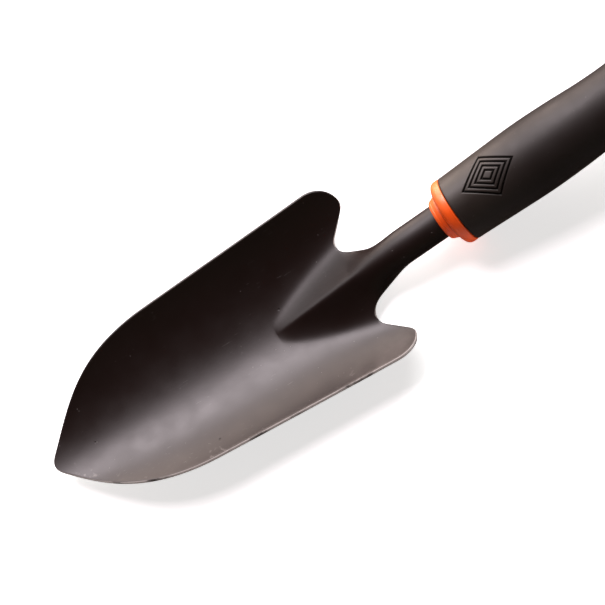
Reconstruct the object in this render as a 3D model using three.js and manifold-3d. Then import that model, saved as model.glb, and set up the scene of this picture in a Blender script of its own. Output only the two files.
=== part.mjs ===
// Hand trowel: a pressed steel blade whose neck rolls into a channel shank, and a two-part
// plastic and rubber handle. All lengths are millimetres and all angles are radians.
//
// The pieces are drawn in the handle's frame: x runs from the blade's tip to the handle's
// end along the handle's axis, y is across, and z is up, on the blade's hollow side. The last
// group tilts them into the part's frame, in which the trowel lies on its back on z = 0 and
// the origin is the middle of the footprint.

import * as THREE from 'three';
import { mergeVertices } from 'three/addons/utils/BufferGeometryUtils.js';
import Module from 'manifold-3d';

const wasm = await Module();
wasm.setup();

// ---- Driving dimensions ----

const GAP = 0.3; // air kept between touching pieces

// Blade: a rolled sheet, its trough sloping down in a straight line from the tip to the neck.
const SHEET = 1.5;
const ROLL_RADIUS = 54;
const TIP_X = -0.65; // the tip's blunt end
const TIP_ROLL_RADIUS = 41; // the tip is rolled tighter
const TIP_ROLL_START_X = 8;
const TIP_ROLL_END_X = 60;
const TIP_HEIGHT = 23.2;
const TROUGH_SLOPE = 0.2205;
const SHOULDER_HALF = 40.15;
const SHOULDER_X = 147.5;
const LOBE_X = 158;
const LOBE_Y = 32.4;
const NOTCH_X = 146;
const NOTCH_Y = 18;

// Stiffening ridge pressed into the trough, which grows into the neck.
const RIDGE_X = 106;
const RIDGE_FAN_X = 101;
const RIDGE_HALF_AT_NOTCH = 17.6;
const RIDGE_FAN_POWER = 0.7;
const CREST_ROUNDING = 0.09;
const FOOT_ROUNDING = 0.34;

// Neck, shank and tang: the same sheet, rolled to an upside-down U.
const SHANK_RADIUS = 7.55;
const SHANK_Z = -0.4;
const SHANK_X = 170;
const CREST_BLEND = 11; // how far before and after that the crest rounds over
const ROLLED_X = 164;
const SKIRT_DROP = 6;
const SKIRT_START_X = 154;
const SKIRT_END_X = 172;
const TANG_PLAIN_X = 214;
const BARB_PITCH = 9;
const BARB_COUNT = 4;
const BARB_DROP = 1.8;
const BARB_STEP = 0.6;
const TANG_END_X = 262;

// Handle, from the collar's lip to the end cap's tip.
const COLLAR_X = 190.4;
const LIP_RADIUS = 9.3;
const RING_X = 194.3;
const RING_RADIUS = 14.6;
const GRIP_X = 199.5;
const SPIGOT_LENGTH = 6;
const SPIGOT_RADIUS = 9.4;
const CORE_RADIUS = 11.2;
const GRIP_END_X = 300;
const CAP_END_X = 318.5;
const CAP_SPIGOT_RADIUS = 6.5;
const CAP_SPIGOT_LENGTH = 10;
const PADDLE_X = 304;
const PADDLE_HALF_THICK = 6.5;
const EYE_X = 309.6;
const EYE_RADIUS = 4.8;

// Thumb tread: rhombic grooves, one inside the next, engraved in the top of the grip.
const TREAD_X = 219;
const TREAD_HALF_LENGTH = 12.5;
const TREAD_HALF_WIDTH = 9.5;
const TREAD_RINGS = 4;
const TREAD_PITCH = 0.238; // step between grooves, as a share of the outer rhombus
const TREAD_WIDTH = 0.095; // width of a groove, as the same share
const TREAD_DEPTH = 0.85;

// Attitude when it lies on a table: it rests on the blade's back and the collar's large ring.
const REST_TILT = 0.1395;
const REST_SHIFT = [-155.88, 0, -12.962];

// How finely round shapes are faceted, and the sizes of the tools that only cut.
const ROUND_SIDES = 36;
const SLOT_SEGMENTS = 14;
const EYE_SIDES = 28;
const CUTTER_OVERLAP = 1;
const CUTTER_REACH = 40;
const TREAD_CUTTER_Z = 8; // below the grooves where the tread is widest

// ---- Outline of the blade and neck, one half, as Bezier pieces in x and y ----

const SIDE = [
  [[TIP_X, 0], [TIP_X, 2.5], [1.2, 4], [3.9, 6.7]],
  [[3.9, 6.7], [20, 22.8], [38, 33.95], [66, 35.65]],
  [[66, 35.65], [93, 37.2], [120, 38.7], [SHOULDER_X, SHOULDER_HALF]],
  [[SHOULDER_X, SHOULDER_HALF], [153.4, 40.4], [LOBE_X, 37.5], [LOBE_X, LOBE_Y]],
];
const LOBE_INSIDE = [
  [[NOTCH_X, NOTCH_Y], [NOTCH_X, 20], [147.2, 21.2], [149, 22.75]],
  [[149, 22.75], [150.8, 24.3], [152.7, 26.05], [154.6, 27.7]],
  [[154.6, 27.7], [156.3, 29.2], [LOBE_X, 30.5], [LOBE_X, LOBE_Y]],
];
const NECK_SIDE = [
  [[NOTCH_X, NOTCH_Y], [NOTCH_X, 14.2], [150.5, 12.3], [154.5, 10.6]],
  [[154.5, 10.6], [159, 8.7], [162, SHANK_RADIUS], [SHANK_X, SHANK_RADIUS]],
];

// The y of an outline at x; each piece runs forward in x, so halving finds its parameter.
function outlineAt(pieces, x) {
  const piece = pieces.find((points) => x <= points[3][0]) ?? pieces[pieces.length - 1];
  const curve = new THREE.CubicBezierCurve(...piece.map(([a, b]) => new THREE.Vector2(a, b)));
  let low = 0;
  let high = 1;
  for (let step = 0; step < 40; step += 1) {
    const middle = (low + high) / 2;
    if (curve.getPoint(middle).x < x) low = middle;
    else high = middle;
  }
  return curve.getPoint(high).y;
}

const neckHalf = (x) => (x < SHANK_X ? outlineAt(NECK_SIDE, x) : SHANK_RADIUS);

// ---- Heights of the sheet's upper face ----

const smooth = (x, from, to) => THREE.MathUtils.smoothstep(x, from, to);

const troughZ = (x) => TIP_HEIGHT - TROUGH_SLOPE * x;

// The ridge's crest: a straight climb out of the trough that rounds over into the level shank.
function crestZ(x) {
  const level = SHANK_Z + SHANK_RADIUS;
  const climb = (level - troughZ(RIDGE_X)) / (SHANK_X - RIDGE_X);
  const straight = Math.max(SHANK_X - CREST_BLEND - x, 0);
  const rounded = THREE.MathUtils.clamp(SHANK_X + CREST_BLEND - x, 0, 2 * CREST_BLEND);
  return level - climb * (straight + rounded ** 2 / (4 * CREST_BLEND));
}

// The ridge's section, 1 at the crest and fading to nothing past the foot at q = 1.
function ridgeShare(q) {
  const flank = 1 + CREST_ROUNDING - Math.hypot(q, CREST_ROUNDING);
  const foot = Math.sqrt(flank * flank + FOOT_ROUNDING * FOOT_ROUNDING);
  const top = Math.sqrt(1 + FOOT_ROUNDING * FOOT_ROUNDING);
  return (flank + foot) / (1 + top);
}

function bladeZ(x, y) {
  const opened = smooth(x, TIP_ROLL_START_X, TIP_ROLL_END_X);
  const radius = THREE.MathUtils.lerp(TIP_ROLL_RADIUS, ROLL_RADIUS, opened);
  const rolled = troughZ(x) + radius - Math.sqrt(radius ** 2 - y * y);
  if (x <= RIDGE_X) return rolled;
  const fan = ((x - RIDGE_FAN_X) / (NOTCH_X - RIDGE_FAN_X)) ** RIDGE_FAN_POWER;
  const share = ridgeShare(Math.abs(y) / (RIDGE_HALF_AT_NOTCH * fan));
  return rolled + (crestZ(x) - troughZ(x)) * share;
}

// How far the tang's barbs reach below its plain edge: a saw-tooth that grips backwards.
function barbDrop(x) {
  const along = (x - TANG_PLAIN_X) / BARB_PITCH;
  if (along < 0 || along >= BARB_COUNT) return 0;
  return BARB_DROP * Math.min((along % 1) / (1 - BARB_STEP / BARB_PITCH), 1);
}

// A point of the neck, shank or tang; t runs from -1 to 1 across the sheet.
function neckPoint(x, t) {
  const half = neckHalf(x);
  const angle = (t * Math.PI) / 2;
  const skirt = SHANK_Z - SKIRT_DROP * (1 - smooth(x, SKIRT_START_X, SKIRT_END_X));
  const rolledZ = skirt + (crestZ(x) - skirt) * Math.cos(angle);
  const roll = smooth(x, NOTCH_X, ROLLED_X);
  const y = THREE.MathUtils.lerp(half * t, half * Math.sin(angle), roll);
  const z = THREE.MathUtils.lerp(bladeZ(x, half * t), rolledZ, roll);
  const barb = Math.abs(t) === 1 ? barbDrop(x) : 0;
  return new THREE.Vector3(x, y, z - barb);
}

// ---- The blade's sheet ----

// Stations from one x to another, closer together at an end that is rounded in plan.
function stations(from, to, count, easeStart, easeEnd) {
  const list = [];
  for (let k = 0; k <= count; k += 1) {
    let share = k / count;
    if (easeStart && easeEnd) share = (1 - Math.cos(Math.PI * share)) / 2;
    else if (easeStart) share = 1 - Math.cos((Math.PI * share) / 2);
    else if (easeEnd) share = Math.sin((Math.PI * share) / 2);
    list.push(THREE.MathUtils.lerp(from, to, share));
  }
  return list;
}

// Triangles over rows of points; a row may be one point repeated, where the sheet ends round.
function rowsToTriangles(rows, triangles) {
  for (let i = 0; i + 1 < rows.length; i += 1) {
    for (let j = 0; j + 1 < rows[i].length; j += 1) {
      const [a, b, c, d] = [rows[i][j], rows[i + 1][j], rows[i + 1][j + 1], rows[i][j + 1]];
      triangles.push([a, b, c], [a, c, d]);
    }
  }
}

// The sheet's upper face: the bowl, its two shoulder lobes, and the neck, shank and tang.
function upperFace() {
  const neckColumns = 7;
  const lobeColumns = 7;
  const shares = [];
  for (let k = 0; k <= neckColumns; k += 1) shares.push(k / neckColumns);
  const across = [...shares.slice(1).reverse().map((s) => -s), ...shares];
  const notchShare = NOTCH_Y / outlineAt(SIDE, NOTCH_X);
  const lobeShares = [];
  for (let k = 0; k <= lobeColumns; k += 1) lobeShares.push(k / lobeColumns);
  const middle = across.map((s) => s * notchShare);
  const wing = lobeShares.slice(1).map((s) => THREE.MathUtils.lerp(notchShare, 1, s));
  const bowlShares = [...wing.slice().reverse().map((s) => -s), ...middle, ...wing];

  const onBlade = (x, y) => new THREE.Vector3(x, y, bladeZ(x, y));
  const bowlX = [
    ...stations(TIP_X, 24, 6, true, false),
    ...stations(24, RIDGE_X, 12, false, false).slice(1),
    ...stations(RIDGE_X, NOTCH_X, 13, true, true).slice(1),
  ];
  const triangles = [];
  rowsToTriangles(bowlX.map((x) => {
    const half = x > TIP_X ? outlineAt(SIDE, x) : 0;
    return bowlShares.map((s) => onBlade(x, s * half));
  }), triangles);

  const lobeX = stations(NOTCH_X, LOBE_X, 9, true, true);
  for (const side of [-1, 1]) {
    rowsToTriangles(lobeX.map((x) => {
      const inside = outlineAt(LOBE_INSIDE, x);
      const outside = x < LOBE_X ? outlineAt(SIDE, x) : inside;
      const row = lobeShares.map((s) => onBlade(x, side * THREE.MathUtils.lerp(inside, outside, s)));
      return side > 0 ? row : row.reverse();
    }), triangles);
  }

  const neckX = [
    ...stations(NOTCH_X, SHANK_X, 12, true, false),
    ...stations(SHANK_X, SHANK_X + CREST_BLEND, 3, false, false).slice(1),
    ...stations(SHANK_X + CREST_BLEND, TANG_PLAIN_X, 3, false, false).slice(1),
  ];
  for (let k = 0; k < BARB_COUNT; k += 1) {
    const tooth = TANG_PLAIN_X + k * BARB_PITCH;
    neckX.push(tooth + BARB_PITCH - BARB_STEP, tooth + BARB_PITCH);
  }
  neckX.push(TANG_END_X);
  rowsToTriangles(neckX.map((x) => across.map((s) => neckPoint(x, s))), triangles);
  return triangles;
}

// A mesh of triangles given as corner points, with shared corners merged and slivers left out.
function meshFromTriangles(triangles) {
  const geometry = new THREE.BufferGeometry();
  const corners = triangles.flat().flatMap((p) => [p.x, p.y, p.z]);
  geometry.setAttribute('position', new THREE.Float32BufferAttribute(corners, 3));
  const merged = mergeVertices(geometry, 1e-4);
  const kept = [];
  for (let k = 0; k < merged.index.count; k += 3) {
    const [a, b, c] = [0, 1, 2].map((n) => merged.index.getX(k + n));
    if (a !== b && b !== c && c !== a) kept.push(a, b, c);
  }
  merged.setIndex(kept);
  return merged;
}

// Gives an open sheet its thickness: a lower face along the normals, and a rim between them.
function thicken(face, thickness) {
  face.computeVertexNormals();
  const upper = face.attributes.position;
  const normal = face.attributes.normal;
  const count = upper.count;
  const points = [...upper.array];
  for (let v = 0; v < count; v += 1) {
    points.push(upper.getX(v) - thickness * normal.getX(v));
    points.push(upper.getY(v) - thickness * normal.getY(v));
    points.push(upper.getZ(v) - thickness * normal.getZ(v));
  }
  const index = [...face.index.array];
  const edges = new Set();
  for (let k = 0; k < face.index.count; k += 3) {
    const corner = [0, 1, 2].map((n) => face.index.getX(k + n));
    index.push(corner[2] + count, corner[1] + count, corner[0] + count);
    corner.forEach((from, n) => edges.add(`${from} ${corner[(n + 1) % 3]}`));
  }
  for (const edge of edges) {
    const [from, to] = edge.split(' ').map(Number);
    if (!edges.has(`${to} ${from}`)) {
      index.push(to, from, from + count, to, from + count, to + count);
    }
  }
  const solid = new THREE.BufferGeometry();
  solid.setAttribute('position', new THREE.Float32BufferAttribute(points, 3));
  solid.setIndex(index);
  return solid;
}

// ---- Solids turned about the handle's axis, and cuts in them ----

// A closed profile of [x, radius] points turned about the x axis.
function turned(profile) {
  const points = profile.map(([x, radius]) => new THREE.Vector2(radius, x));
  const geometry = new THREE.LatheGeometry(points, ROUND_SIDES);
  geometry.rotateZ(-Math.PI / 2);
  geometry.rotateX(Math.PI / 2);
  return geometry;
}

// Points of a smooth curve through [x, radius] points, for a profile's rounded stretches.
function curved(points, divisions) {
  const curve = new THREE.SplineCurve(points.map(([x, radius]) => new THREE.Vector2(x, radius)));
  return curve.getPoints(divisions).map((p) => [p.x, p.y]);
}

function toSolid(geometry) {
  const bare = geometry.clone();
  bare.deleteAttribute('normal');
  bare.deleteAttribute('uv');
  const merged = mergeVertices(bare, 1e-4);
  return new wasm.Manifold(new wasm.Mesh({
    numProp: 3,
    vertProperties: new Float32Array(merged.attributes.position.array),
    triVerts: new Uint32Array(merged.index.array),
  }));
}

function toGeometry(solid) {
  const mesh = solid.getMesh();
  const geometry = new THREE.BufferGeometry();
  geometry.setAttribute('position', new THREE.BufferAttribute(mesh.vertProperties, 3));
  geometry.setIndex(new THREE.BufferAttribute(mesh.triVerts, 1));
  return geometry;
}

// The slot that the channel's section leaves in plastic moulded round it and inside it.
function channelSlot(from, to, skirt) {
  const outer = SHANK_RADIUS + GAP;
  const inner = SHANK_RADIUS - SHEET - GAP;
  const bottom = -skirt - GAP;
  const section = new THREE.Shape();
  section.moveTo(outer, bottom);
  section.lineTo(outer, 0);
  section.absarc(0, 0, outer, 0, Math.PI, false);
  section.lineTo(-outer, bottom);
  section.lineTo(-inner, bottom);
  section.lineTo(-inner, 0);
  section.absarc(0, 0, inner, Math.PI, 0, true);
  section.lineTo(inner, bottom);
  const slot = new THREE.ExtrudeGeometry(section, {
    depth: to - from, bevelEnabled: false, curveSegments: SLOT_SEGMENTS, steps: 1,
  });
  slot.rotateX(Math.PI / 2);
  slot.rotateZ(Math.PI / 2);
  slot.translate(from, 0, SHANK_Z);
  return toSolid(slot);
}

// ---- The pieces ----

// Blade, shank and tang in one pressing, with barbs along the tang's edges.
function bladeGeometry() {
  return thicken(meshFromTriangles(upperFace()), SHEET);
}

// Front collar: a small lip ring, a larger ring flush with the grip, and a spigot behind.
function collarGeometry() {
  const spigotEnd = GRIP_X - GAP + SPIGOT_LENGTH;
  const profile = [
    [COLLAR_X, 0],
    [COLLAR_X, LIP_RADIUS - 1.4],
    ...curved([
      [COLLAR_X + 0.25, LIP_RADIUS - 0.8], [COLLAR_X + 1.4, LIP_RADIUS],
      [RING_X - 0.6, LIP_RADIUS + 0.6],
    ], 3),
    [RING_X, LIP_RADIUS + 0.8],
    [RING_X, RING_RADIUS - 3.6],
    ...curved([
      [RING_X + 0.3, RING_RADIUS - 2.4], [RING_X + 1.3, RING_RADIUS - 0.8],
      [RING_X + 2.9, RING_RADIUS],
    ], 4),
    [GRIP_X - GAP, RING_RADIUS],
    [GRIP_X - GAP, SPIGOT_RADIUS],
    [spigotEnd, SPIGOT_RADIUS],
    [spigotEnd, 0],
  ];
  const ring = toSolid(turned(profile));
  const slot = channelSlot(COLLAR_X - CUTTER_OVERLAP, spigotEnd + CUTTER_OVERLAP, 0);
  return toGeometry(ring.subtract(slot));
}

// Core: the rigid body of the handle, moulded round the tang, with a socket at each end.
function coreGeometry() {
  const frontSocket = GRIP_X + SPIGOT_LENGTH;
  const rearSocket = GRIP_END_X - CAP_SPIGOT_LENGTH - GAP;
  const profile = [
    [frontSocket, 0],
    [frontSocket, SPIGOT_RADIUS + GAP],
    [GRIP_X, SPIGOT_RADIUS + GAP],
    [GRIP_X, CORE_RADIUS],
    [GRIP_END_X, CORE_RADIUS],
    [GRIP_END_X, CAP_SPIGOT_RADIUS + GAP],
    [rearSocket, CAP_SPIGOT_RADIUS + GAP],
    [rearSocket, 0],
  ];
  const body = toSolid(turned(profile));
  const slot = channelSlot(frontSocket - CUTTER_OVERLAP, TANG_END_X + GAP, BARB_DROP);
  return toGeometry(body.subtract(slot));
}

// The grip's outer profile: swelling under the fingers, waisted, and swelling in the palm.
function gripProfile(offset) {
  const spine = [
    [GRIP_X, 14.55], [207, 14.75], [220, 15.2], [236, 15.6], [251, 15.25], [266, 14.45],
    [278, 14.35], [290, 15], [296.5, 15.1], [GRIP_END_X, 14.6],
  ];
  return curved(spine, 24).map(([x, radius]) => [x, radius + offset]);
}

// The slanting frames between nested rhombi, standing as prisms over the top of the grip.
function treadFrames() {
  const frames = [];
  for (let ring = 0; ring < TREAD_RINGS; ring += 1) {
    const outer = 1 - ring * TREAD_PITCH;
    const corners = (scale) => [
      [TREAD_HALF_LENGTH * scale, 0], [0, TREAD_HALF_WIDTH * scale],
      [-TREAD_HALF_LENGTH * scale, 0], [0, -TREAD_HALF_WIDTH * scale],
    ].map(([a, b]) => new THREE.Vector2(a, b));
    const frame = new THREE.Shape(corners(outer));
    frame.holes.push(new THREE.Path(corners(outer - TREAD_WIDTH)));
    const prism = new THREE.ExtrudeGeometry(frame, {
      depth: CUTTER_REACH, bevelEnabled: false, steps: 1,
    });
    prism.translate(TREAD_X, 0, TREAD_CUTTER_Z);
    frames.push(toSolid(prism));
  }
  return frames.reduce((joined, frame) => joined.add(frame));
}

// Soft grip: a sleeve over the core, with the thumb tread cut to an even depth.
function gripGeometry() {
  const bore = CORE_RADIUS + GAP;
  const ring = gripProfile(0);
  const sleeve = toSolid(turned([[GRIP_X, bore], ...ring, [GRIP_END_X, bore], [GRIP_X, bore]]));
  const floorOfGrooves = toSolid(turned([
    [GRIP_X, 0], ...gripProfile(-TREAD_DEPTH), [GRIP_END_X, 0],
  ]));
  return toGeometry(sleeve.subtract(treadFrames().subtract(floorOfGrooves)));
}

// End cap: a plug in the core's rear socket, flattened to a paddle with a hanging eye.
function capGeometry() {
  const face = GRIP_END_X + GAP;
  const profile = [
    [GRIP_END_X - CAP_SPIGOT_LENGTH, 0],
    [GRIP_END_X - CAP_SPIGOT_LENGTH, CAP_SPIGOT_RADIUS],
    [face, CAP_SPIGOT_RADIUS],
    [face, 14.5],
    ...curved([[302.5, 14.5], [309, 13.7], [314.3, 10.9], [317.4, 6.4]], 7),
    [CAP_END_X, 3],
    [CAP_END_X, 0],
  ];
  const eye = new THREE.CylinderGeometry(EYE_RADIUS, EYE_RADIUS, CUTTER_REACH, EYE_SIDES);
  eye.rotateX(Math.PI / 2);
  eye.translate(EYE_X, 0, 0);
  let cap = toSolid(turned(profile)).subtract(toSolid(eye));
  for (const side of [-1, 1]) {
    const waste = new THREE.BoxGeometry(CUTTER_REACH, CUTTER_REACH, CUTTER_REACH);
    const clear = PADDLE_HALF_THICK + CUTTER_REACH / 2;
    waste.translate(PADDLE_X + CUTTER_REACH / 2, 0, side * clear);
    cap = cap.subtract(toSolid(waste));
  }
  return toGeometry(cap);
}

// ---- Materials ----

const paintedSteel = () => new THREE.MeshStandardMaterial({
  color: 0x1d1c1e, roughness: 0.42, metalness: 0.2, side: THREE.DoubleSide,
});
const orangePlastic = () => new THREE.MeshStandardMaterial({
  color: 0xf0591e, roughness: 0.4, metalness: 0,
});
const softRubber = () => new THREE.MeshStandardMaterial({
  color: 0x26262a, roughness: 0.75, metalness: 0,
});

// ---- Assembly ----

function piece(name, geometry, material) {
  const mesh = new THREE.Mesh(geometry, material);
  mesh.name = name;
  return mesh;
}

const handle = new THREE.Group();
handle.add(
  piece('front_collar', collarGeometry(), orangePlastic()),
  piece('handle_core', coreGeometry(), orangePlastic()),
  piece('soft_grip', gripGeometry(), softRubber()),
  piece('end_cap', capGeometry(), orangePlastic()),
);

const tilted = new THREE.Group();
tilted.add(piece('blade', bladeGeometry(), paintedSteel()), handle);
tilted.rotation.y = -REST_TILT;
tilted.position.set(...REST_SHIFT);

const group = new THREE.Group();
group.add(tilted);

export default group;
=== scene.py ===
"""Looks for a hand trowel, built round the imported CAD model.

The fine pieces are drawn in the handle's frame, as the CAD draws them: millimetres, with x
from the blade's tip along the handle, y across, and z up on the blade's hollow side.
placed() then takes them to the row's frame, in metres.
"""

import math

import bmesh
import bpy
import numpy as np
from mathutils import Matrix, Vector


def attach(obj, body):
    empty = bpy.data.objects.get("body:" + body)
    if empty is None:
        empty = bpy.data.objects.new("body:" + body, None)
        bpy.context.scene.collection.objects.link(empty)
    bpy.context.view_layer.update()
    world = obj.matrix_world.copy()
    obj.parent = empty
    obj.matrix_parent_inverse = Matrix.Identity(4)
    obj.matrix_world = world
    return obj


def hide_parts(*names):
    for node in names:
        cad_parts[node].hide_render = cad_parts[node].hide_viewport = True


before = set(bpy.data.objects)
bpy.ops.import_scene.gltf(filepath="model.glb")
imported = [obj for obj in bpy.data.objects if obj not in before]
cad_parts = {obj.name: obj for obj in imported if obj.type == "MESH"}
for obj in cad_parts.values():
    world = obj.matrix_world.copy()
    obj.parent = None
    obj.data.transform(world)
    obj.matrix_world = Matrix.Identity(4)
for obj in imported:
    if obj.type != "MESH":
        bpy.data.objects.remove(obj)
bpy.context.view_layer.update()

# ---- Driving dimensions, as in the CAD ----

GAP = 0.3
SHEET = 1.5
ROLL_RADIUS = 54
TIP_X = -0.65
TIP_ROLL_RADIUS = 41
TIP_ROLL_START_X = 8
TIP_ROLL_END_X = 60
TIP_HEIGHT = 23.2
TROUGH_SLOPE = 0.2205
SHOULDER_HALF = 40.15
SHOULDER_X = 147.5
LOBE_X = 158
LOBE_Y = 32.4
NOTCH_X = 146
NOTCH_Y = 18
RIDGE_X = 106
RIDGE_FAN_X = 101
RIDGE_HALF_AT_NOTCH = 17.6
RIDGE_FAN_POWER = 0.7
CREST_ROUNDING = 0.09
FOOT_ROUNDING = 0.34
SHANK_RADIUS = 7.55
SHANK_Z = -0.4
SHANK_X = 170
CREST_BLEND = 11
ROLLED_X = 164
SKIRT_DROP = 6
SKIRT_START_X = 154
SKIRT_END_X = 172
TANG_PLAIN_X = 214
BARB_PITCH = 9
BARB_COUNT = 4
BARB_DROP = 1.8
BARB_STEP = 0.6
TANG_END_X = 262
COLLAR_X = 190.4
RING_X = 194.3
RING_RADIUS = 14.6
GRIP_X = 199.5
SPIGOT_LENGTH = 6
SPIGOT_RADIUS = 9.4
CORE_RADIUS = 11.2
GRIP_END_X = 300
CAP_END_X = 318.5
CAP_SPIGOT_RADIUS = 6.5
CAP_SPIGOT_LENGTH = 10
PADDLE_X = 304
PADDLE_HALF_THICK = 6.5
EYE_X = 309.6
EYE_RADIUS = 4.8
TREAD_X = 219
TREAD_HALF_LENGTH = 12.5
TREAD_HALF_WIDTH = 9.5
TREAD_RINGS = 4
TREAD_PITCH = 0.238
TREAD_WIDTH = 0.095
TREAD_DEPTH = 0.85
CUTTER_OVERLAP = 1
REST_TILT = 0.1395
REST_SHIFT = (-155.88, 0, -12.962)

# ---- What the fine pieces add to the CAD ----

RIM_BULGE = 0.45  # how far the rolled rim of the sheet stands past its faces' edges
RIM_INSET = 0.32  # and how far those edges lie inside the outline, in plan
RIM_WEAR_AND_HIGHLIGHT_AHEAD = 0.3  # how worn the rim is, and how strong its painted highlight, where it faces along the handle
RIM_WEAR_AND_HIGHLIGHT_TURN = 2  # and how fast that grows as it turns to face -y
SCUFF_REACH = 9  # how far in from the blade's -y edge its paint is scuffed
CREASE_RADIUS = 9.95  # where the collar's small ring meets its large one
CREASE_SHADE_REACH = 0.9  # how far painted shade spreads from that crease
GROOVE_WALL = 0.3  # the sloping side of a groove is one and a half times this wide
GRIP_LIP = 0.5  # rounding of the grip's two ends
CAP_RADIUS = 14.5
DOME_X = 302.5  # where the cap's dome starts
EYE_FILLET = 1.2

# ---- How fine the meshes are ----

OUTLINE_STEPS = 300
HALF_NECK_COLUMNS = 27
CREST_CROWDING = 1.15  # above 1, the columns stand closer together near the crest
LOBE_COLUMNS = 23
TIP_ROWS_END_X = 24
TIP_ROWS = 26
BOWL_ROWS = 56
RIDGE_ROWS = 60
LOBE_ROWS = 30
NECK_ROWS = 44
SHANK_ROWS = 30
RIM_STEPS = 8
NORMAL_SMOOTHING = 14
ROUND_SIDES = 144
EYE_SIDES = 64
SLOT_ARC_POINTS = 49
GRIP_CURVE_STEPS = 900
GRIP_FRONT_ROWS = 8
TREAD_ROWS = 156
GRIP_REAR_ROWS = 60
BORE_ROWS = 30
UNDERSIDE_COLUMNS = 36
TREAD_COLUMNS = 136
SIDE_COLUMNS = 8
DOME_STEPS = 72
FILLET_POINTS = 7
WELD = 0.001

# ---- View and light ----

CAMERA_TARGET = (122.61, 4.944, 0)  # in the handle's frame
CAMERA_DISTANCE = 800
CAMERA_LEAN = math.radians(18)  # from straight above, towards -y
CAMERA_SWING = math.radians(15)  # from straight above, towards the handle
CAMERA_ROLL = math.radians(34.724)
CAMERA_FIELD = math.radians(17.92)
# Soft lamps: azimuth from +y towards +x, elevation and width in degrees, strength and colour.
LAMPS = {
    "high": (0, 50, 30, 3.45, (1, 0.895, 0.935)),
    "right": (35, 30, 40, 2.5, (1, 1, 1)),
    "left": (-25, 28, 30, 0.4, (1, 1, 1)),
    "low": (0, 6, 40, 2.35, (1, 0.82, 0.74)),
    "back": (180, 20, 60, 0.06, (1, 0.8, 0.6)),
}
WORLD_COLOUR = (0.055, 0.037, 0.029, 1)
FLOOR_GLOW = 0.7
FLOOR_HALF = 3
FLOOR_Z = -0.0001

# ---- Colours ----

BLACK_PAINT = (0.0062, 0.0018, 0.0012, 1)
BLACK_PAINT_PALE = (0.0088, 0.0028, 0.002, 1)
# Pale enough to be both bare steel and a painted highlight on the -y rim.
BARE_STEEL_AND_HIGHLIGHT = (0.4, 0.365, 0.345, 1)
SCRATCH = (0.16, 0.15, 0.145, 1)
SCUFF = (0.2, 0.18, 0.17, 1)
# Partly earth and partly painted light on the -y lobe.
EARTH_FILM_AND_LIGHT = (0.075, 0.062, 0.056, 1)
BLADE_DUST = (0.3, 0.28, 0.27, 1)
ORANGE = (0.83, 0.076, 0.006, 1)
ORANGE_PALE = (0.92, 0.105, 0.01, 1)
# A painted highlight on the collar's lit +y side.
ORANGE_PAINTED_HIGHLIGHT = (0.88, 0.34, 0.11, 1)
ORANGE_SMUDGE = (0.42, 0.035, 0.006, 1)
# Painted shade for the collar's crease.
ORANGE_PAINTED_CREASE_SHADE = (0.25, 0.025, 0.006, 1)
RUBBER = (0.0095, 0.0055, 0.0045, 1)
RUBBER_PALE = (0.0135, 0.0085, 0.0075, 1)
# Partly dust, partly a painted highlight near the collar.
RUBBER_DUST_AND_HIGHLIGHT = (0.052, 0.042, 0.034, 1)
# Painted shade in the tread's grooves.
RUBBER_PAINTED_GROOVE_SHADE = (0.0025, 0.0018, 0.0015, 1)
RUBBER_DUST = (0.25, 0.24, 0.23, 1)
CORE = (0.6, 0.07, 0.012, 1)
CORE_PALE = (0.68, 0.09, 0.015, 1)
FLOOR = (0.86, 0.86, 0.86, 1)
FLOOR_PALE = (0.88, 0.88, 0.88, 1)
WHITE = (1, 1, 1, 1)

# ---- From the handle's frame to the row's ----

METRES = 0.001  # in a millimetre
HANDLE_TO_ROW = (
    Matrix.Translation(Vector(REST_SHIFT) * METRES)
    @ Matrix.Rotation(-REST_TILT, 4, "Y")
    @ Matrix.Scale(METRES, 4)
)


def placed(points):
    """Points of the handle's frame, taken to the row's frame."""
    turn = np.array(HANDLE_TO_ROW)
    return np.asarray(points, float) @ turn[:3, :3].T + turn[:3, 3]


# ---- Outlines of the blade and neck, one half, as Bezier pieces in x and y ----

SIDE = [
    [(TIP_X, 0), (TIP_X, 2.5), (1.2, 4), (3.9, 6.7)],
    [(3.9, 6.7), (20, 22.8), (38, 33.95), (66, 35.65)],
    [(66, 35.65), (93, 37.2), (120, 38.7), (SHOULDER_X, SHOULDER_HALF)],
    [(SHOULDER_X, SHOULDER_HALF), (153.4, 40.4), (LOBE_X, 37.5), (LOBE_X, LOBE_Y)],
]
LOBE_INSIDE = [
    [(NOTCH_X, NOTCH_Y), (NOTCH_X, 20), (147.2, 21.2), (149, 22.75)],
    [(149, 22.75), (150.8, 24.3), (152.7, 26.05), (154.6, 27.7)],
    [(154.6, 27.7), (156.3, 29.2), (LOBE_X, 30.5), (LOBE_X, LOBE_Y)],
]
NECK_SIDE = [
    [(NOTCH_X, NOTCH_Y), (NOTCH_X, 14.2), (150.5, 12.3), (154.5, 10.6)],
    [(154.5, 10.6), (159, 8.7), (162, SHANK_RADIUS), (SHANK_X, SHANK_RADIUS)],
]


def outline(pieces, side):
    """x and y along joined Bezier pieces, moved by side to the right, or to the left below zero."""
    t = np.linspace(0, 1, OUTLINE_STEPS)[:, None]
    curves = []
    for a, b, c, d in np.array(pieces, float):
        curve = (1 - t) ** 3 * a + 3 * (1 - t) ** 2 * t * b + 3 * (1 - t) * t**2 * c + t**3 * d
        curves.append(curve if not curves else curve[1:])
    points = np.vstack(curves)
    along = np.gradient(points, axis=0)
    along /= np.linalg.norm(along, axis=1)[:, None]
    points += side * np.stack([along[:, 1], -along[:, 0]], axis=1)
    return np.maximum.accumulate(points[:, 0]), points[:, 1]


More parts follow.
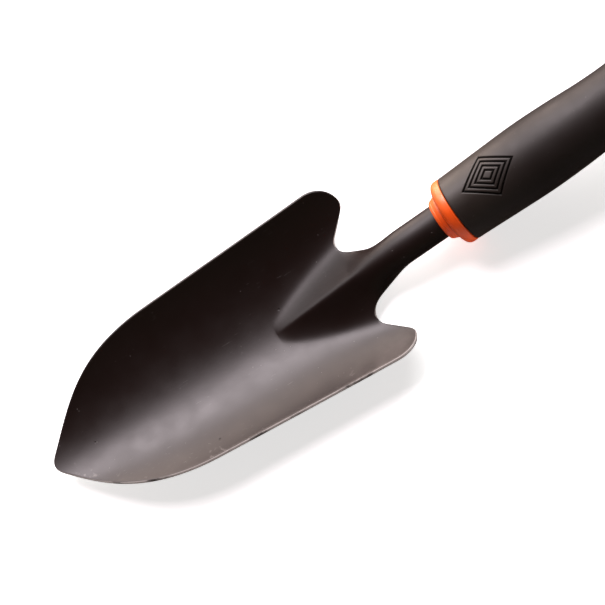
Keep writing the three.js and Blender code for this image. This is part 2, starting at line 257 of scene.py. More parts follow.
SIDE_LINE = outline(SIDE, RIM_INSET)
LOBE_LINE = outline(LOBE_INSIDE, -RIM_INSET)
NECK_LINE = outline(NECK_SIDE, RIM_INSET)
TIP_START_X = TIP_X + RIM_INSET
NOTCH_START_X = NOTCH_X - RIM_INSET
LOBE_END_X = LOBE_X - RIM_INSET


def across(line, x):
    """How far out in y an outline is at x."""
    return np.interp(x, *line)


# ---- Heights of the sheet's upper face ----


def smooth(x, start, end):
    """0 up to start and 1 from end, easing in between."""
    share = np.clip((x - start) / (end - start), 0, 1)
    return share * share * (3 - 2 * share)


def mix(a, b, share):
    return a + (b - a) * share


def trough_z(x):
    return TIP_HEIGHT - TROUGH_SLOPE * x


def crest_z(x):
    """The ridge's crest: a straight climb that rounds over into the level shank."""
    level = SHANK_Z + SHANK_RADIUS
    climb = (level - trough_z(RIDGE_X)) / (SHANK_X - RIDGE_X)
    straight = np.clip(SHANK_X - CREST_BLEND - x, 0, None)
    rounded = np.clip(SHANK_X + CREST_BLEND - x, 0, 2 * CREST_BLEND)
    return level - climb * (straight + rounded**2 / (4 * CREST_BLEND))


def ridge_share(q):
    """The ridge's section, 1 at the crest and fading to nothing past the foot at q = 1."""
    flank = 1 + CREST_ROUNDING - np.hypot(q, CREST_ROUNDING)
    return (flank + np.hypot(flank, FOOT_ROUNDING)) / (1 + math.hypot(1, FOOT_ROUNDING))


def blade_z(x, y):
    radius = mix(TIP_ROLL_RADIUS, ROLL_RADIUS, smooth(x, TIP_ROLL_START_X, TIP_ROLL_END_X))
    rolled = trough_z(x) + radius - np.sqrt(radius**2 - y**2)
    if x <= RIDGE_X:
        return rolled
    fan = ((x - RIDGE_FAN_X) / (NOTCH_X - RIDGE_FAN_X)) ** RIDGE_FAN_POWER
    share = ridge_share(np.abs(y) / (RIDGE_HALF_AT_NOTCH * fan))
    return rolled + (crest_z(x) - trough_z(x)) * share


def barb_drop(x):
    """How far the tang's barbs reach below its plain edge."""
    along = (x - TANG_PLAIN_X) / BARB_PITCH
    if along < 0 or along >= BARB_COUNT:
        return 0
    return BARB_DROP * min((along % 1) / (1 - BARB_STEP / BARB_PITCH), 1)


def neck_row(x, t):
    """A row of the neck, shank or tang; t runs from -1 to 1 across the sheet."""
    roll = float(smooth(x, NOTCH_X, ROLLED_X))
    half = across(NECK_LINE, x) + RIM_INSET * roll
    angle = t * math.pi / 2
    skirt = SHANK_Z - SKIRT_DROP * (1 - smooth(x, SKIRT_START_X, SKIRT_END_X)) + RIM_BULGE * roll
    rolled_z = skirt + (crest_z(x) - skirt) * np.cos(angle)
    y = mix(half * t, half * np.sin(angle), roll)
    z = mix(blade_z(x, half * t), rolled_z, roll)
    z = z - np.where(np.abs(t) == 1, barb_drop(x), 0)
    return np.stack([np.full_like(y, x), y, z], axis=1)


# ---- The blade's sheet ----


def stations(start, end, count, ease_start=False, ease_end=False):
    """Places from start to end, closer together at an end that is rounded in plan."""
    share = np.linspace(0, 1, count + 1)
    if ease_start and ease_end:
        share = (1 - np.cos(np.pi * share)) / 2
    elif ease_start:
        share = 1 - np.cos(np.pi * share / 2)
    elif ease_end:
        share = np.sin(np.pi * share / 2)
    return mix(start, end, share)


def blade_row(x, y):
    return np.stack([np.full_like(y, x), y, blade_z(x, y)], axis=1)


def upper_face():
    """Grids of the sheet's upper face: the bowl, its two shoulder lobes, and the neck to the tang."""
    neck_shares = np.linspace(0, 1, HALF_NECK_COLUMNS) ** CREST_CROWDING
    lobe_shares = np.linspace(0, 1, LOBE_COLUMNS)
    notch_share = NOTCH_Y / across(SIDE_LINE, NOTCH_START_X)
    half_row = np.concatenate([neck_shares * notch_share, mix(notch_share, 1, lobe_shares[1:])])
    bowl_shares = np.concatenate([-half_row[:0:-1], half_row])
    neck_t = np.concatenate([-neck_shares[:0:-1], neck_shares])

    bowl_x = np.concatenate([
        stations(TIP_START_X, TIP_ROWS_END_X, TIP_ROWS, ease_start=True),
        stations(TIP_ROWS_END_X, RIDGE_X, BOWL_ROWS)[1:],
        stations(RIDGE_X, NOTCH_START_X, RIDGE_ROWS, ease_start=True, ease_end=True)[1:],
    ])
    grids = [[blade_row(x, bowl_shares * across(SIDE_LINE, x)) for x in bowl_x]]

    for side in (-1, 1):
        rows = []
        for x in stations(NOTCH_START_X, LOBE_END_X, LOBE_ROWS, ease_start=True, ease_end=True):
            inside = across(LOBE_LINE, x)
            outside = across(SIDE_LINE, x) if x < LOBE_END_X else inside
            rows.append(blade_row(x, side * mix(inside, outside, lobe_shares))[::side])
        grids.append(rows)

    teeth = TANG_PLAIN_X + BARB_PITCH * np.arange(1, BARB_COUNT + 1)
    neck_x = np.concatenate([
        stations(NOTCH_START_X, SHANK_X, NECK_ROWS, ease_start=True),
        stations(SHANK_X, TANG_PLAIN_X, SHANK_ROWS)[1:],
        np.sort(np.concatenate([teeth, teeth - BARB_STEP, teeth - BARB_PITCH / 2])),
        [TANG_END_X],
    ])
    grids.append([neck_row(x, neck_t) for x in neck_x])
    return grids


def welded(grids):
    """One bmesh over grids of points, where points in one place become one."""
    bm = bmesh.new()
    for rows in grids:
        made = [[bm.verts.new(p) for p in row] for row in rows]
        for one, two in zip(made, made[1:]):
            for a, b, c, d in zip(one, two, two[1:], one[1:]):
                bm.faces.new((a, b, c, d))
    bmesh.ops.remove_doubles(bm, verts=bm.verts, dist=WELD)
    bm.verts.index_update()
    bm.normal_update()
    return bm


def arrays(bm):
    """Points, unit normals and faces of a bmesh, which is then freed."""
    points = np.array([v.co for v in bm.verts])
    normals = np.array([v.normal for v in bm.verts])
    faces = [[v.index for v in f.verts] for f in bm.faces]
    bm.free()
    return points, normals, faces


def smoothed(normals, faces, times):
    """Normals averaged with their neighbours', so that the lower face doesn't fold at the crest."""
    edges = np.array([(a, b) for f in faces for a, b in zip(f, f[1:] + f[:1])])
    for _ in range(times):
        total = normals.copy()
        np.add.at(total, edges[:, 0], normals[edges[:, 1]])
        np.add.at(total, edges[:, 1], normals[edges[:, 0]])
        normals = total / np.linalg.norm(total, axis=1)[:, None]
    return normals


def thickened(points, normals, faces):
    """A closed sheet with a rounded rim, and each point's wear and painted highlight: most on the -y
    rim.
    """
    count = len(points)
    edges = {(a, b) for f in faces for a, b in zip(f, f[1:] + f[:1])}
    following = {a: b for a, b in edges if (b, a) not in edges}
    rim = np.array(sorted(following))
    place = {v: k for k, v in enumerate(rim)}
    after = points[[following[v] for v in rim]]
    before = np.empty_like(after)
    before[[place[following[v]] for v in rim]] = points[rim]
    outward = np.cross(after - before, normals[rim])
    outward /= np.linalg.norm(outward, axis=1)[:, None]

    lower = points - SHEET * normals
    rings = [rim]
    blocks = [points, lower]
    for k in range(1, RIM_STEPS):
        angle = math.pi * k / RIM_STEPS
        depth = SHEET * (1 - math.cos(angle)) / 2
        blocks.append(points[rim] - depth * normals[rim] + RIM_BULGE * math.sin(angle) * outward)
        rings.append(2 * count + (k - 1) * len(rim) + np.arange(len(rim)))
    rings.append(rim + count)
    closed = faces + [[v + count for v in reversed(f)] for f in faces]
    for one, two in zip(rings, rings[1:]):
        for v in rim:
            a, b = place[v], place[following[v]]
            closed.append([int(n) for n in (one[b], one[a], two[a], two[b])])
    everything = np.vstack(blocks)
    worn_and_highlight = np.zeros(len(everything))
    arcs = np.sin(np.pi * np.arange(1, RIM_STEPS) / RIM_STEPS)
    facing = np.clip(RIM_WEAR_AND_HIGHLIGHT_AHEAD - RIM_WEAR_AND_HIGHLIGHT_TURN * outward[:, 1], 0, 1)
    worn_and_highlight[2 * count:] = np.outer(arcs, facing).ravel()
    return everything, closed, worn_and_highlight


# ---- Solids turned about the handle's axis ----


def curved(points, count):
    """A smooth curve through points: the uniform Catmull-Rom spline that the CAD uses."""
    p = np.array(points, float)
    p = np.vstack([p[:1], p, p[-1:]])
    place = np.linspace(0, len(points) - 1, count + 1)
    k = np.minimum(place.astype(int), len(points) - 2)
    t = (place - k)[:, None]
    a, b, c, d = p[k], p[k + 1], p[k + 2], p[k + 3]
    leave = (c - a) / 2
    arrive = (d - b) / 2
    cubic = (2 * b - 2 * c + leave + arrive) * t**3
    square = (3 * c - 3 * b - 2 * leave - arrive) * t**2
    return cubic + square + leave * t + b


def filleted(corners, steps=6):
    """An outline of (x, radius, setback) corners, each rounded from that far before it to after it."""
    spots = np.array([c[:2] for c in corners], float)
    points = []
    for k, (_, _, setback) in enumerate(corners):
        here = spots[k]
        if setback == 0:
            points.append(here)
            continue
        before = spots[k - 1] - here
        after = spots[k + 1] - here
        start = here + before / np.linalg.norm(before) * setback
        end = here + after / np.linalg.norm(after) * setback
        for t in np.linspace(0, 1, steps + 1):
            points.append((1 - t) ** 2 * start + 2 * t * (1 - t) * here + t**2 * end)
    return np.array(points)


def turned(profile, angles):
    """Rows of points: an (x, radius) profile turned about the handle's axis."""
    rows = []
    for x, radius in profile:
        y = radius * np.cos(angles)
        z = radius * np.sin(angles)
        rows.append(np.stack([np.full_like(y, x), y, z], axis=1))
    return rows


def round_angles(count):
    return np.linspace(2 * math.pi, 0, count + 1)


# ---- Making objects ----


def add_piece(name, points, faces):
    mesh = bpy.data.meshes.new(name)
    mesh.from_pydata(placed(points), [], faces)
    mesh.validate()
    mesh.shade_smooth()
    piece = bpy.data.objects.new(name, mesh)
    bpy.context.scene.collection.objects.link(piece)
    return piece


def mark(piece, name, values):
    """Stores a number for each point of the piece, for its material to read."""
    attribute = piece.data.attributes.new(name, "FLOAT", "POINT")
    attribute.data.foreach_set("value", np.asarray(values, np.float32))


def add_grids(name, grids):
    points, _, faces = arrays(welded(grids))
    return add_piece(name, points, faces)


def cut(piece, cutter):
    """Takes the cutter out of the piece, and removes the cutter."""
    modifier = piece.modifiers.new("cut", "BOOLEAN")
    modifier.operation = "DIFFERENCE"
    modifier.solver = "EXACT"
    modifier.object = cutter
    shape = piece.evaluated_get(bpy.context.evaluated_depsgraph_get())
    mesh = bpy.data.meshes.new_from_object(shape)
    piece.modifiers.clear()
    old = piece.data
    piece.data = mesh
    mesh.name = piece.name
    bpy.data.meshes.remove(old)
    bpy.data.objects.remove(cutter)


def finish_piece(piece, material, crease=None):
    """Gives the piece its material, and stands it for the CAD node whose name it extends."""
    node = piece.name.removesuffix("_fine")
    piece.data.materials.clear()
    piece.data.materials.append(material)
    if crease is not None:
        piece.data.set_sharp_from_angle(angle=math.radians(crease))
    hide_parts(node)
    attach(piece, "root")


# ---- The pieces ----


def make_blade():
    points, normals, faces = arrays(welded(upper_face()))
    normals = smoothed(normals, faces, NORMAL_SMOOTHING)
    points, faces, worn_and_highlight = thickened(points, normals, faces)
    piece = add_piece("blade_fine", points, faces)
    # Rim wear, which also sets a painted highlight along the -y edge.
    mark(piece, "rim", worn_and_highlight)
    to_edge = across(SIDE_LINE, points[:, 0]) + points[:, 1]
    on_blade = points[:, 0] < LOBE_X
    mark(piece, "scuff", np.where(on_blade, np.clip(1 - to_edge / SCUFF_REACH, 0, 1), 0))
    return piece


def channel_slot(start, end):
    """The slot that the shank's channel fills in the plastic moulded round and inside it."""
    outer = SHANK_RADIUS + GAP
    inner = SHANK_RADIUS - SHEET - GAP
    angles = np.linspace(0, math.pi, SLOT_ARC_POINTS)
    half_circle = np.stack([np.cos(angles), np.sin(angles)], axis=1)
    section = np.vstack([
        [(outer, -GAP)], outer * half_circle, [(-outer, -GAP)],
        [(-inner, -GAP)], inner * half_circle[::-1], [(inner, -GAP)],
    ])
    section[:, 1] += SHANK_Z
    count = len(section)
    points = [(x, y, z) for x in (start, end) for y, z in section]
    faces = [[k, k + count, (k + 1) % count + count, (k + 1) % count] for k in range(count)]
    faces += [list(range(count)), list(range(2 * count - 1, count - 1, -1))]
    return add_piece("slot_cutter", points, faces)


def make_collar():
    spigot_end = GRIP_X - GAP + SPIGOT_LENGTH
    profile = filleted([
        (COLLAR_X, 0, 0),
        (COLLAR_X, 8.6, 0.45),
        (COLLAR_X + 1.25, 9.35, 0.25),
        (COLLAR_X + 1.4, 9.2, 0.06),
        (RING_X - 1.1, CREASE_RADIUS, 0.6),
        (RING_X, CREASE_RADIUS, 0.2),
        (RING_X, 12.4, 1.2),
        (RING_X + 1.5, RING_RADIUS, 1.5),
        (GRIP_X - GAP, RING_RADIUS, 0.4),
        (GRIP_X - GAP, SPIGOT_RADIUS, 0),
        (spigot_end, SPIGOT_RADIUS, 0.3),
        (spigot_end, 0, 0),
    ])
    piece = add_grids("front_collar_fine", [turned(profile, round_angles(ROUND_SIDES))])
    cut(piece, channel_slot(COLLAR_X - CUTTER_OVERLAP, spigot_end + CUTTER_OVERLAP))
    row_to_handle = HANDLE_TO_ROW.inverted()
    points = np.array([row_to_handle @ v.co for v in piece.data.vertices])
    radius = np.hypot(points[:, 1], points[:, 2])
    # Painted shade darkens the collar near the crease between its rings.
    from_crease = np.hypot(points[:, 0] - RING_X, radius - CREASE_RADIUS)
    mark(piece, "crease_shade", np.clip(1 - from_crease / CREASE_SHADE_REACH, 0, 1))
    return piece


def groove_depth(x, y):
    """Depth of the thumb tread's grooves: rhombic rings, one inside the next."""
    scale = np.abs(x - TREAD_X) / TREAD_HALF_LENGTH + np.abs(y) / TREAD_HALF_WIDTH
    reach = TREAD_HALF_LENGTH * TREAD_HALF_WIDTH / math.hypot(TREAD_HALF_LENGTH, TREAD_HALF_WIDTH)
    depth = np.zeros_like(scale)
    for ring in range(TREAD_RINGS):
        middle = 1 - ring * TREAD_PITCH - TREAD_WIDTH / 2
        edge = reach * (TREAD_WIDTH / 2 - np.abs(scale - middle))
        depth = np.maximum(depth, smooth(edge, -GROOVE_WALL / 2, GROOVE_WALL))
    return TREAD_DEPTH * depth


def engraving(points):
    """How deep the grip is engraved at its points: only on its top, and not in its bore."""
    clear_of_bore = CORE_RADIUS + GAP + 1
    outside = np.hypot(points[:, 1], points[:, 2]) > clear_of_bore
    depth = groove_depth(points[:, 0], points[:, 1])
    return np.where((points[:, 2] > 0) & outside, depth, 0)


def make_grip():
    spine = curved([
        (GRIP_X, 14.55), (207, 14.75), (220, 15.2), (236, 15.6), (251, 15.25), (266, 14.45),
        (278, 14.35), (290, 15), (296.5, 15.1), (GRIP_END_X, 14.6),
    ], GRIP_CURVE_STEPS)
    bore = CORE_RADIUS + GAP
    margin = 0.6  # how far past the tread's ends the mesh is fine
    tread_start = TREAD_X - TREAD_HALF_LENGTH - margin
    tread_end = TREAD_X + TREAD_HALF_LENGTH + margin
    places = np.concatenate([
        stations(GRIP_X + GRIP_LIP, tread_start, GRIP_FRONT_ROWS),
        stations(tread_start, tread_end, TREAD_ROWS)[1:],
        stations(tread_end, GRIP_END_X - GRIP_LIP, GRIP_REAR_ROWS)[1:],
    ])
    outside = np.stack([places, np.interp(places, spine[:, 0], spine[:, 1])], axis=1)
    front_corner = (GRIP_X, outside[0, 1], GRIP_LIP)
    rear_corner = (GRIP_END_X, outside[-1, 1], GRIP_LIP)
    front = filleted([(GRIP_X, bore, 0), front_corner, (*outside[0], 0)])
    rear = filleted([(*outside[-1], 0), rear_corner, (GRIP_END_X, bore, 0)])
    inside = [(x, bore) for x in np.linspace(GRIP_END_X, GRIP_X, BORE_ROWS)[1:]]
    profile = np.vstack([front[:-2], outside, rear[2:], inside])
    side_margin = 0.5  # how far past the tread's sides it is fine
    side = math.acos((TREAD_HALF_WIDTH + side_margin) / RING_RADIUS)
    angles = np.concatenate([
        stations(2 * math.pi, math.pi - side, UNDERSIDE_COLUMNS),
        stations(math.pi - side, side, TREAD_COLUMNS)[1:],
        stations(side, 0, SIDE_COLUMNS)[1:],
    ])
    rows = []
    for row in turned(profile, angles):
        radius = np.hypot(row[:, 1], row[:, 2])
        row[:, 1:] *= ((radius - engraving(row)) / radius)[:, None]
        rows.append(row)
    points, _, faces = arrays(welded([rows]))
    piece = add_piece("soft_grip_fine", points, faces)
    # Groove depth, which the material uses to paint shade into the grooves.
    mark(piece, "groove", engraving(points) / TREAD_DEPTH)
    return piece


def soft_min(a, b, blend):
    """The lesser of a and b, rounded over where they meet."""
    near = np.maximum(blend - np.abs(a - b), 0) / blend
    return np.minimum(a, b) - near**2 * blend / 4


def eye_cutter():
    """A spool that cuts the hanging eye through the paddle and rounds over its two mouths."""
    fillet_centre = EYE_RADIUS + EYE_FILLET
    lift = 0.03  # brings the fillet's end close under the flat
    fillet_start = PADDLE_HALF_THICK - EYE_FILLET + lift
    arc = np.linspace(0, math.radians(75), FILLET_POINTS)
    heights = fillet_start + EYE_FILLET * np.sin(arc)
    half = list(zip(heights, fillet_centre - EYE_FILLET * np.cos(arc)))
    flare = 0.5
    half.append((PADDLE_HALF_THICK + 2 * CUTTER_OVERLAP, half[-1][1] + flare))
    mirrored = [(-h, r) for h, r in reversed(half)]
    profile = [(mirrored[0][0], 0), *mirrored, *half, (half[-1][0], 0)]
    spool = [row[:, [1, 2, 0]] + (EYE_X, 0, 0) for row in turned(profile, round_angles(EYE_SIDES))]
    return add_grids("eye_cutter", [spool])


def make_cap():
    face = GRIP_END_X + GAP
    start = GRIP_END_X - CAP_SPIGOT_LENGTH
    plug = filleted([
        (start, 0, 0), (start, CAP_SPIGOT_RADIUS, 0.5), (face, CAP_SPIGOT_RADIUS, 0),
        (face, CAP_RADIUS, 0.5), (DOME_X, CAP_RADIUS, 0),
    ])
    dome = curved([
        (DOME_X, CAP_RADIUS), (306, 14.35), (309, 13.7), (312, 12.5), (314.3, 10.9), (316.2, 8.6),
        (317.6, 5.7), (318.3, 2.8), (CAP_END_X, 0),
    ], DOME_STEPS)
    rows = turned(np.vstack([plug, dome[1:]]), round_angles(ROUND_SIDES))
    unlimited = 18  # over every radius of the cap
    rounding = 1.6  # where the dome meets the paddle's flats
    for row in rows:
        narrowed = smooth(row[0, 0], PADDLE_X - 0.9, PADDLE_X + 1.1)
        limit = mix(unlimited, PADDLE_HALF_THICK, narrowed)
        row[:, 2] = np.sign(row[:, 2]) * soft_min(np.abs(row[:, 2]), limit, rounding)
    piece = add_grids("end_cap_fine", [rows])
    cut(piece, eye_cutter())
    return piece


# ---- Materials ----


class Paint:
    """A material's node tree round its Principled shader."""

    def __init__(self, name, **settings):
        self.material = bpy.data.materials.new(name)
        self.material.use_nodes = True
        self.tree = self.material.node_tree
        self.shader = self.tree.nodes["Principled BSDF"]
        for key, value in settings.items():
            self.shader.inputs[key.replace("_", " ")].default_value = value
        self.place = self.add("ShaderNodeTexCoord").outputs["Object"]

    def add(self, kind, values=(), **settings):
        """A node of that kind. values holds its inputs, each a number, a colour or a socket."""
        node = self.tree.nodes.new(kind)
        for key, value in settings.items():
            setattr(node, key, value)
        for key, value in dict(values).items():
            if isinstance(value, bpy.types.NodeSocket):
                self.tree.links.new(value, node.inputs[key])
            else:
                node.inputs[key].default_value = value
        return node

    def noise(self, scale, detail=3, place=None):
        values = {"Vector": place or self.place, "Scale": scale, "Detail": detail}
        return self.add("ShaderNodeTexNoise", values).outputs["Fac"]

    def attribute(self, name):
        return self.add("ShaderNodeAttribute", attribute_name=name).outputs["Fac"]

    def along(self, axis):
        """Where on that axis of the row's frame a point is, in metres."""
        return self.add("ShaderNodeSeparateXYZ", {0: self.place}).outputs[axis]

    def ranged(self, value, low, high, to_low=0.0, to_high=1.0):
        """value from low..high to to_low..to_high, held at the ends."""
        values = {"Value": value, "From Min": low, "From Max": high, "To Min": to_low, "To Max": to_high}
        return self.add("ShaderNodeMapRange", values).outputs["Result"]

    def maths(self, operation, a, b):
        return self.add("ShaderNodeMath", {0: a, 1: b}, operation=operation).outputs[0]

    def product(self, first, *others):
        for other in others:
            first = self.maths("MULTIPLY", first, other)
        return first

    def blend(self, share, a, b):
        """The colour a where share is 0, and b where it is 1."""
        values = {"Factor": share, "A": a, "B": b}
        node = self.add("ShaderNodeMix", data_type="RGBA")
        for key, value in values.items():
            socket = next(s for s in node.inputs if s.name == key and s.enabled)
            if isinstance(value, bpy.types.NodeSocket):
                self.tree.links.new(value, socket)
            else:
                socket.default_value = value
        return next(s for s in node.outputs if s.enabled)

    def stretched(self, scale, turn=(0, 0, 0)):
        values = {"Vector": self.place, "Scale": scale, "Rotation": turn}
        return self.add("ShaderNodeMapping", values).outputs["Vector"]

    def specks(self, scale, size, share):
        """1 in small round specks, in that share of the cells of a grid of that scale."""
        values = {"Vector": self.place, "Scale": scale}
        cells = self.add("ShaderNodeTexVoronoi", values)
        dot = self.ranged(cells.outputs["Distance"], size, size * 0.6)
        chance = self.add("ShaderNodeSeparateColor", {"Color": cells.outputs["Color"]})
        return self.product(dot, self.maths("LESS_THAN", chance.outputs["Red"], share))

    def bump(self, height, strength, distance, below=None):
        values = {"Height": height, "Strength": strength, "Distance": distance}
        if below:
            values["Normal"] = below
        return self.add("ShaderNodeBump", values).outputs["Normal"]

    def drive(self, key, socket):
        self.tree.links.new(socket, self.shader.inputs[key])


def painted_steel():
    """Satin black paint on pressed steel, dusty and scratched, and duller on the shank.

    On the -y side a pale film, partly earth and partly painted light, dulls the lobe; the paint is
    scuffed; the bare rim is also a painted highlight.
    """
    paint = Paint("satin_black_paint", Specular_IOR_Level=0.5)
    colour = paint.blend(paint.noise(45, 4), BLACK_PAINT, BLACK_PAINT_PALE)

    grain = paint.stretched((70, 2600, 2600), (0, 0, 0.35))
    hairs = paint.ranged(paint.noise(1, 3, grain), 0.69, 0.74)
    scratched = paint.product(hairs, paint.ranged(paint.noise(38, 2), 0.5, 0.62), 0.5)
    colour = paint.blend(scratched, colour, SCRATCH)
    dust = paint.specks(330, 0.07, 0.3)
    colour = paint.blend(paint.product(dust, 0.5), colour, BLADE_DUST)

    # A pale film on the -y side of the lobe: partly earth, partly painted light that brightens that lit
    # edge.
    on_rear = paint.ranged(paint.along("X"), -0.04, -0.012)
    on_side = paint.ranged(paint.along("Y"), -0.025, -0.038)
    filmed_and_lit = paint.product(on_rear, on_side, paint.ranged(paint.noise(130, 5), 0.3, 0.62, 0.45, 1))
    colour = paint.blend(filmed_and_lit, colour, EARTH_FILM_AND_LIGHT)

    flecks = paint.ranged(paint.noise(420, 4), 0.6, 0.72, 0, 0.5)
    patches = paint.ranged(paint.noise(48, 2), 0.5, 0.6)
    colour = paint.blend(paint.product(flecks, patches, paint.attribute("scuff")), colour, SCUFF)

    # The rim that faces -y is bare steel, and pale enough to be a painted highlight along that edge too.
    worn_and_highlight = paint.ranged(paint.attribute("rim"), 0.05, 0.4)
    bare_and_highlight = paint.product(worn_and_highlight, paint.ranged(paint.noise(110, 5), 0.34, 0.5))
    paint.drive("Base Color", paint.blend(bare_and_highlight, colour, BARE_STEEL_AND_HIGHLIGHT))

    chips = paint.specks(85, 0.05, 0.3)
    rough = paint.ranged(paint.noise(120, 4), 0.3, 0.7, 0.37, 0.43)
    rough = paint.maths("ADD", rough, paint.product(paint.maths("ADD", dust, chips), 0.4))
    duller_shank = paint.ranged(paint.along("X"), 0.012, 0.03, 0, 0.07)
    paint.drive("Roughness", paint.maths("ADD", rough, duller_shank))
    peel = paint.bump(paint.noise(1100, 2), 0.12, 0.00006)
    chipped = paint.bump(chips, 0.8, -0.00015, peel)
    paint.drive("Normal", paint.bump(bare_and_highlight, 0.5, -0.00004, chipped))
    return paint.material


def orange_plastic():
    """Moulded plastic with a soft sheen, painted highlight to +y, painted shade in the collar's crease.
    """
    paint = Paint("orange_moulded_plastic", Specular_IOR_Level=0.5)
    colour = paint.blend(paint.noise(90, 4), ORANGE, ORANGE_PALE)
    smudged = paint.ranged(paint.noise(260, 5), 0.58, 0.8, 0, 0.25)
    colour = paint.blend(smudged, colour, ORANGE_SMUDGE)
    # Paler towards +y: a painted highlight on the lit side.
    pale_and_painted_highlight = paint.product(paint.ranged(paint.along("Y"), -0.004, 0.01), paint.noise(120, 4))
    colour = paint.blend(pale_and_painted_highlight, colour, ORANGE_PAINTED_HIGHLIGHT)
    # Painted shade in the crease between the collar's rings.
    uneven = paint.ranged(paint.noise(400, 4), 0.3, 0.6, 0.5, 1)
    colour = paint.blend(paint.product(paint.attribute("crease_shade"), uneven), colour, ORANGE_PAINTED_CREASE_SHADE)
    paint.drive("Base Color", colour)
    paint.drive("Roughness", paint.ranged(paint.noise(300, 4), 0.3, 0.7, 0.28, 0.36))
    paint.drive("Normal", paint.bump(paint.noise(1800, 3), 0.15, 0.00005))
    return paint.material


def soft_rubber():
    """Matt black rubber with a fine texture, smoother near the collar, and paler there: dust and painted
    highlight, most on +y.
    """
    paint = Paint("matt_black_rubber", Specular_IOR_Level=0.45)
    colour = paint.blend(paint.noise(70, 4), RUBBER, RUBBER_PALE)
    # Paler near the collar and most on the lit +y side: partly dust, partly a painted highlight.
    near_collar = paint.ranged(paint.along("X"), 0.078, 0.045)
    towards_y = paint.ranged(paint.along("Y"), -0.005, 0.007, 0.6, 1.7)
    pale_and_painted_highlight = paint.product(near_collar, paint.noise(55, 4), towards_y)
    colour = paint.blend(pale_and_painted_highlight, colour, RUBBER_DUST_AND_HIGHLIGHT)
    # Darker in the tread's grooves: painted shade.
    colour = paint.blend(paint.product(paint.attribute("groove"), 0.85), colour, RUBBER_PAINTED_GROOVE_SHADE)
    dust = paint.specks(420, 0.07, 0.3)
    paint.drive("Base Color", paint.blend(paint.product(dust, 0.3), colour, RUBBER_DUST))
    rough = paint.ranged(paint.noise(160, 4), 0.3, 0.7, 0.5, 0.58)
    polish = paint.ranged(paint.along("X"), 0.075, 0.05, 0, 0.09)
    paint.drive("Roughness", paint.maths("SUBTRACT", rough, polish))
    fine = paint.bump(paint.noise(4200, 2), 0.2, 0.00005)
    paint.drive("Normal", paint.bump(paint.noise(900, 3), 0.15, 0.00005, fine))
    return paint.material


def core_plastic():
    """Plain moulded plastic of the hidden core."""
    paint = Paint("core_moulded_plastic", Specular_IOR_Level=0.5)
    paint.drive("Base Color", paint.blend(paint.noise(80, 4), CORE, CORE_PALE))
    paint.drive("Roughness", paint.ranged(paint.noise(250, 4), 0.3, 0.7, 0.45, 0.6))
    paint.drive("Normal", paint.bump(paint.noise(1500, 3), 0.2, 0.00005))
    return paint.material


def floor_finish():
    """Plain pale floor, with a glow that keeps its shadows light."""
    paint = Paint("pale_floor", Roughness=0.9, Specular_IOR_Level=0.2, Emission_Strength=FLOOR_GLOW)
    paint.shader.inputs["Emission Color"].default_value = WHITE
    paint.drive("Base Color", paint.blend(paint.noise(3, 3), FLOOR, FLOOR_PALE))
    paint.material.cycles.emission_sampling = "NONE"
    return paint.material


# ---- Stage, light and camera ----


def make_stage():
    signs = ((-1, -1), (1, -1), (1, 1), (-1, 1))
    corners = [(x * FLOOR_HALF, y * FLOOR_HALF, FLOOR_Z) for x, y in signs]
    mesh = bpy.data.meshes.new("floor")
    mesh.from_pydata(corners, [], [(0, 1, 2, 3)])
    mesh.materials.append(floor_finish())
    floor = bpy.data.objects.new("floor", mesh)
    bpy.context.scene.collection.objects.link(floor)
    floor.visible_glossy = False
    floor.visible_shadow = False


def make_light():
    for name, (azimuth, elevation, width, strength, colour) in LAMPS.items():
        lamp = bpy.data.lights.new(name, "SUN")
        lamp.energy = strength
        lamp.angle = math.radians(width)
        lamp.color = colour
        to_lamp = Vector((0, 1, 0))
        to_lamp.rotate(Matrix.Rotation(math.radians(elevation), 3, "X"))
        to_lamp.rotate(Matrix.Rotation(-math.radians(azimuth), 3, "Z"))
        holder = bpy.data.objects.new(name, lamp)
        holder.rotation_mode = "QUATERNION"
        holder.rotation_quaternion = to_lamp.to_track_quat("Z", "Y")
        bpy.context.scene.collection.objects.link(holder)


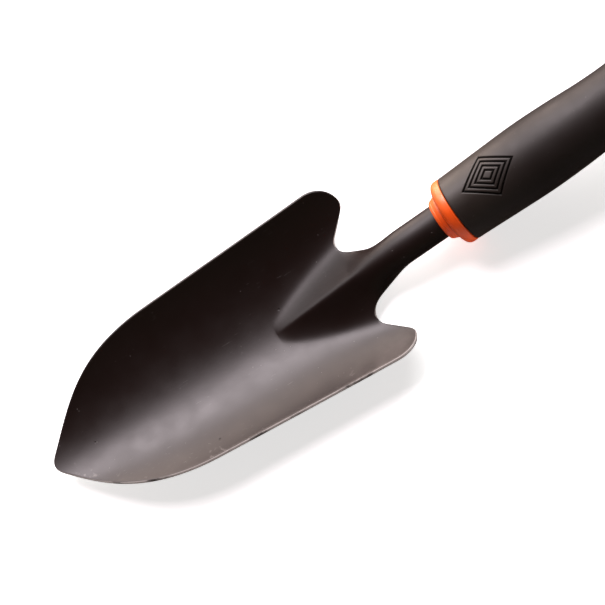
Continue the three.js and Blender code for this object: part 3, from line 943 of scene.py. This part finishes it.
def make_world():
    """Dim all round, and white where the camera looks past the floor."""
    world = bpy.data.worlds.new("studio")
    world.use_nodes = True
    tree = world.node_tree
    dim = tree.nodes["Background"]
    dim.inputs["Color"].default_value = WORLD_COLOUR
    white = tree.nodes.new("ShaderNodeBackground")
    white.inputs["Color"].default_value = WHITE
    path = tree.nodes.new("ShaderNodeLightPath")
    either = tree.nodes.new("ShaderNodeMixShader")
    tree.links.new(path.outputs["Is Camera Ray"], either.inputs["Fac"])
    tree.links.new(dim.outputs[0], either.inputs[1])
    tree.links.new(white.outputs[0], either.inputs[2])
    tree.links.new(either.outputs[0], tree.nodes["World Output"].inputs["Surface"])
    bpy.context.scene.world = world


def make_camera():
    lean_cos, lean_sin = math.cos(CAMERA_LEAN), math.sin(CAMERA_LEAN)
    swing_cos, swing_sin = math.cos(CAMERA_SWING), math.sin(CAMERA_SWING)
    level = Vector((swing_cos, lean_sin * swing_sin, -lean_cos * swing_sin))
    above = Vector((0, lean_cos, lean_sin))
    back = Vector((swing_sin, -lean_sin * swing_cos, lean_cos * swing_cos))
    right = level * math.cos(CAMERA_ROLL) - above * math.sin(CAMERA_ROLL)
    up = level * math.sin(CAMERA_ROLL) + above * math.cos(CAMERA_ROLL)
    spot = Vector(CAMERA_TARGET) + back * CAMERA_DISTANCE
    turn = HANDLE_TO_ROW.to_3x3().normalized() @ Matrix((right, up, back)).transposed()

    data = bpy.data.cameras.new("camera")
    data.angle = CAMERA_FIELD
    data.clip_start = 0.01
    camera = bpy.data.objects.new("camera", data)
    camera.matrix_world = Matrix.Translation(HANDLE_TO_ROW @ spot) @ turn.to_4x4()
    bpy.context.scene.collection.objects.link(camera)
    bpy.context.scene.camera = camera
    bpy.context.scene.view_settings.view_transform = "Standard"


make_camera()
make_light()
make_world()
make_stage()

plastic = orange_plastic()
finish_piece(make_blade(), painted_steel())
finish_piece(make_collar(), plastic, crease=35)
finish_piece(make_grip(), soft_rubber(), crease=50)
finish_piece(make_cap(), plastic, crease=35)

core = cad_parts["handle_core"]
core.data.materials.clear()
core.data.materials.append(core_plastic())
